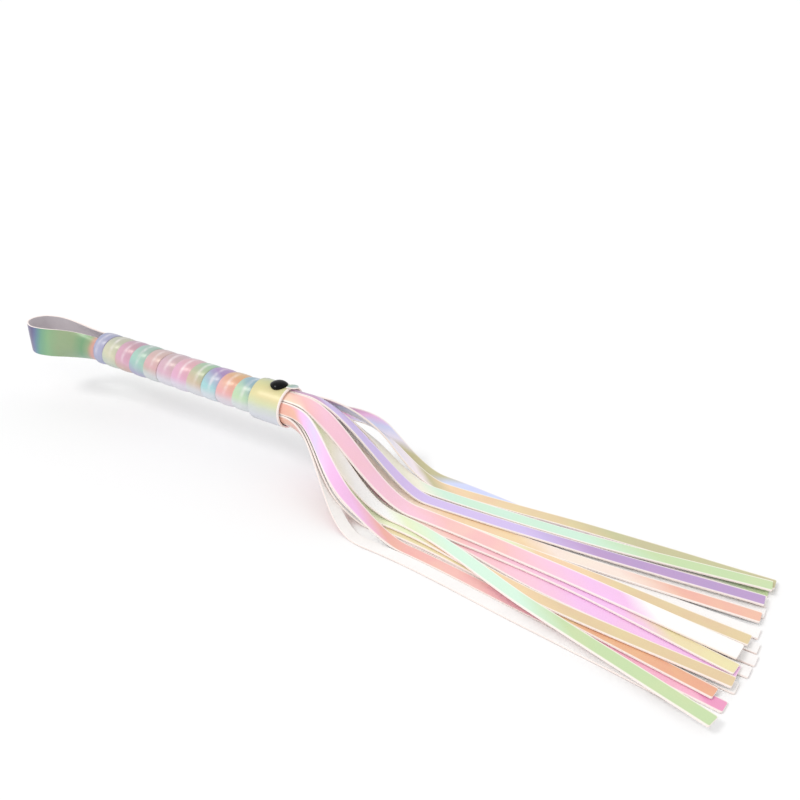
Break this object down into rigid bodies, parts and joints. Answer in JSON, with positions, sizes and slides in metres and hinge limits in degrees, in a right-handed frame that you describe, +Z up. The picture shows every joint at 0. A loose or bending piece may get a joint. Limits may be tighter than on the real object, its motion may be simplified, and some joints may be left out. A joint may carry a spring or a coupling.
{
  "type": "tassel whip",
  "caption": "Soft tassel whip: spiral-wrapped straight grip with wrist loop, riveted smooth collar and a long fringe of flat pearlescent falls draped onto a table",
  "frame": {"origin": "on the grip's axis, half way along the grip, at the grip_hold mount", "axes": "+X along the grip to the falls, +Y to the left, +Z up; the grip is level and the falls drape down to a table 47 mm below its axis"},
  "size_m": [0.5612, 0.1282, 0.0643],
  "materials": {
    "pearl_sheet": "pearlescent pastel faux leather, glossy",
    "collar_sheet": "pearlescent pale yellow faux leather, satin",
    "strap_sheet": "pearlescent green and blue faux leather with pale cloth backing",
    "fall_sheet": "pearlescent pastel faux leather with pale cut edges",
    "backing_cloth": "fine knitted backing cloth",
    "foam": "closed-cell foam",
    "rod_wood": "plain dowel",
    "black_metal": "glossy black",
    "steel": "plain wire"
  },
  "bodies": {
    "handle": {"core_rod": "rod_wood", "foam_sleeve": "foam", "grip_wrap": "pearl_sheet", "butt_disc": "pearl_sheet", "collar_band": "collar_sheet", "fringe_header": "backing_cloth", "rivet_cap": "black_metal", "rivet_post": "steel", "strap_tabs": "strap_sheet", "strap_tack": "steel"},
    "loop": {"wrist_loop": "strap_sheet"},
    "middle_fall": {"fall_09": "fall_sheet"},
    "fall_body_01": {"fall_01": "fall_sheet"},
    "fall_body_02": {"fall_02": "fall_sheet"},
    "fall_body_03": {"fall_03": "fall_sheet"},
    "fall_body_04": {"fall_04": "fall_sheet"},
    "fall_body_05": {"fall_05": "fall_sheet"},
    "fall_body_06": {"fall_06": "fall_sheet"},
    "fall_body_07": {"fall_07": "fall_sheet"},
    "fall_body_08": {"fall_08": "fall_sheet"},
    "fall_body_10": {"fall_10": "fall_sheet"},
    "fall_body_11": {"fall_11": "fall_sheet"},
    "fall_body_12": {"fall_12": "fall_sheet"},
    "fall_body_13": {"fall_13": "fall_sheet"},
    "fall_body_14": {"fall_14": "fall_sheet"},
    "fall_body_15": {"fall_15": "fall_sheet"},
    "fall_body_16": {"fall_16": "fall_sheet"},
    "fall_body_17": {"fall_17": "fall_sheet"},
    "fall_body_18": {"fall_18": "fall_sheet"},
    "fall_body_19": {"fall_19": "fall_sheet"},
    "fall_body_20": {"fall_20": "fall_sheet"},
    "fall_body_21": {"fall_21": "fall_sheet"}
  },
  "joints": [
    {"name": "loop_bend", "type": "hinge", "parent": "handle", "child": "loop", "pos_m": [-0.08, 0, 0], "axis": [0, 0, 1], "range_deg": [-30, 30]},
    {"name": "fringe_lift", "type": "hinge", "parent": "handle", "child": "middle_fall", "pos_m": [0.1, 0, 0], "axis": [0, -1, 0], "range_deg": [0, 12]},
    {"name": "fall_01_swing", "type": "hinge", "parent": "middle_fall", "child": "fall_body_01", "pos_m": [0.1, 0, 0], "axis": [0, 0, -1], "range_deg": [-12.01, 0]},
    {"name": "fall_02_swing", "type": "hinge", "parent": "middle_fall", "child": "fall_body_02", "pos_m": [0.1, 0, 0], "axis": [0, 0, -1], "range_deg": [-10.96, 0]},
    {"name": "fall_03_swing", "type": "hinge", "parent": "middle_fall", "child": "fall_body_03", "pos_m": [0.1, 0, 0], "axis": [0, 0, -1], "range_deg": [-8.86, 0]},
    {"name": "fall_04_swing", "type": "hinge", "parent": "middle_fall", "child": "fall_body_04", "pos_m": [0.1, 0, 0], "axis": [0, 0, -1], "range_deg": [-7.66, 0]},
    {"name": "fall_05_swing", "type": "hinge", "parent": "middle_fall", "child": "fall_body_05", "pos_m": [0.1, 0, 0], "axis": [0, 0, -1], "range_deg": [-5.86, 0]},
    {"name": "fall_06_swing", "type": "hinge", "parent": "middle_fall", "child": "fall_body_06", "pos_m": [0.1, 0, 0], "axis": [0, 0, -1], "range_deg": [-4.21, 0]},
    {"name": "fall_07_swing", "type": "hinge", "parent": "middle_fall", "child": "fall_body_07", "pos_m": [0.1, 0, 0], "axis": [0, 0, -1], "range_deg": [-3.01, 0]},
    {"name": "fall_08_swing", "type": "hinge", "parent": "middle_fall", "child": "fall_body_08", "pos_m": [0.1, 0, 0], "axis": [0, 0, -1], "range_deg": [-1.96, 0]},
    {"name": "fall_10_swing", "type": "hinge", "parent": "middle_fall", "child": "fall_body_10", "pos_m": [0.1, 0, 0], "axis": [0, 0, -1], "range_deg": [0, 1.21]},
    {"name": "fall_11_swing", "type": "hinge", "parent": "middle_fall", "child": "fall_body_11", "pos_m": [0.1, 0, 0], "axis": [0, 0, -1], "range_deg": [0, 1.51]},
    {"name": "fall_12_swing", "type": "hinge", "parent": "middle_fall", "child": "fall_body_12", "pos_m": [0.1, 0, 0], "axis": [0, 0, -1], "range_deg": [0, 2.56]},
    {"name": "fall_13_swing", "type": "hinge", "parent": "middle_fall", "child": "fall_body_13", "pos_m": [0.1, 0, 0], "axis": [0, 0, -1], "range_deg": [0, 3.01]},
    {"name": "fall_14_swing", "type": "hinge", "parent": "middle_fall", "child": "fall_body_14", "pos_m": [0.1, 0, 0], "axis": [0, 0, -1], "range_deg": [0, 4.36]},
    {"name": "fall_15_swing", "type": "hinge", "parent": "middle_fall", "child": "fall_body_15", "pos_m": [0.1, 0, 0], "axis": [0, 0, -1], "range_deg": [0, 7.51]},
    {"name": "fall_16_swing", "type": "hinge", "parent": "middle_fall", "child": "fall_body_16", "pos_m": [0.1, 0, 0], "axis": [0, 0, -1], "range_deg": [0, 6.01]},
    {"name": "fall_17_swing", "type": "hinge", "parent": "middle_fall", "child": "fall_body_17", "pos_m": [0.1, 0, 0], "axis": [0, 0, -1], "range_deg": [0, 7.51]},
    {"name": "fall_18_swing", "type": "hinge", "parent": "middle_fall", "child": "fall_body_18", "pos_m": [0.1, 0, 0], "axis": [0, 0, -1], "range_deg": [0, 8.86]},
    {"name": "fall_19_swing", "type": "hinge", "parent": "middle_fall", "child": "fall_body_19", "pos_m": [0.1, 0, 0], "axis": [0, 0, -1], "range_deg": [0, 8.86]},
    {"name": "fall_20_swing", "type": "hinge", "parent": "middle_fall", "child": "fall_body_20", "pos_m": [0.1, 0, 0], "axis": [0, 0, -1], "range_deg": [0, 12.16]},
    {"name": "fall_21_swing", "type": "hinge", "parent": "middle_fall", "child": "fall_body_21", "pos_m": [0.1, 0, 0], "axis": [0, 0, -1], "range_deg": [0, 15]}
  ],
  "couplings": [
    {"joint": "fall_01_swing", "follows": "fall_21_swing", "ratio": -0.8},
    {"joint": "fall_02_swing", "follows": "fall_21_swing", "ratio": -0.73},
    {"joint": "fall_03_swing", "follows": "fall_21_swing", "ratio": -0.59},
    {"joint": "fall_04_swing", "follows": "fall_21_swing", "ratio": -0.51},
    {"joint": "fall_05_swing", "follows": "fall_21_swing", "ratio": -0.39},
    {"joint": "fall_06_swing", "follows": "fall_21_swing", "ratio": -0.28},
    {"joint": "fall_07_swing", "follows": "fall_21_swing", "ratio": -0.2},
    {"joint": "fall_08_swing", "follows": "fall_21_swing", "ratio": -0.13},
    {"joint": "fall_10_swing", "follows": "fall_21_swing", "ratio": 0.08},
    {"joint": "fall_11_swing", "follows": "fall_21_swing", "ratio": 0.1},
    {"joint": "fall_12_swing", "follows": "fall_21_swing", "ratio": 0.17},
    {"joint": "fall_13_swing", "follows": "fall_21_swing", "ratio": 0.2},
    {"joint": "fall_14_swing", "follows": "fall_21_swing", "ratio": 0.29},
    {"joint": "fall_15_swing", "follows": "fall_21_swing", "ratio": 0.5},
    {"joint": "fall_16_swing", "follows": "fall_21_swing", "ratio": 0.4},
    {"joint": "fall_17_swing", "follows": "fall_21_swing", "ratio": 0.5},
    {"joint": "fall_18_swing", "follows": "fall_21_swing", "ratio": 0.59},
    {"joint": "fall_19_swing", "follows": "fall_21_swing", "ratio": 0.59},
    {"joint": "fall_20_swing", "follows": "fall_21_swing", "ratio": 0.81}
  ]
}
